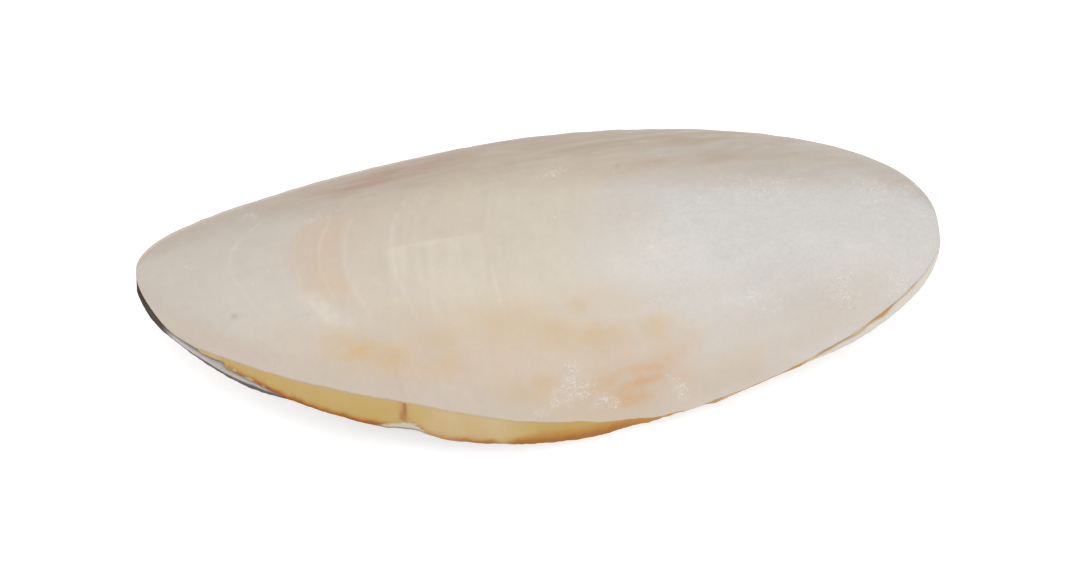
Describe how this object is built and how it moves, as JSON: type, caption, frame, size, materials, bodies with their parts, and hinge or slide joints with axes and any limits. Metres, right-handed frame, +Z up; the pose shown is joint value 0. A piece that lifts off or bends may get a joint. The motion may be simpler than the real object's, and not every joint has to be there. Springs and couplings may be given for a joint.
{
  "type": "cuttlebone",
  "caption": "Long oval cuttlebone with a domed chalky shield, a thin amber margin on one side, and a soft chalk underside worn flat where it rests.",
  "frame": {"origin": "centre of the bounding box in plan, on the surface that the cuttlebone lies on", "axes": "+X along the length, from the anterior tip to the posterior tip; +Z up, out of the domed shield"},
  "size_m": [0.16, 0.0732, 0.0223],
  "materials": {
    "cuttlebone": "matte, chalky"
  },
  "bodies": {
    "root": {"cuttlebone": "cuttlebone"}
  },
  "joints": []
}
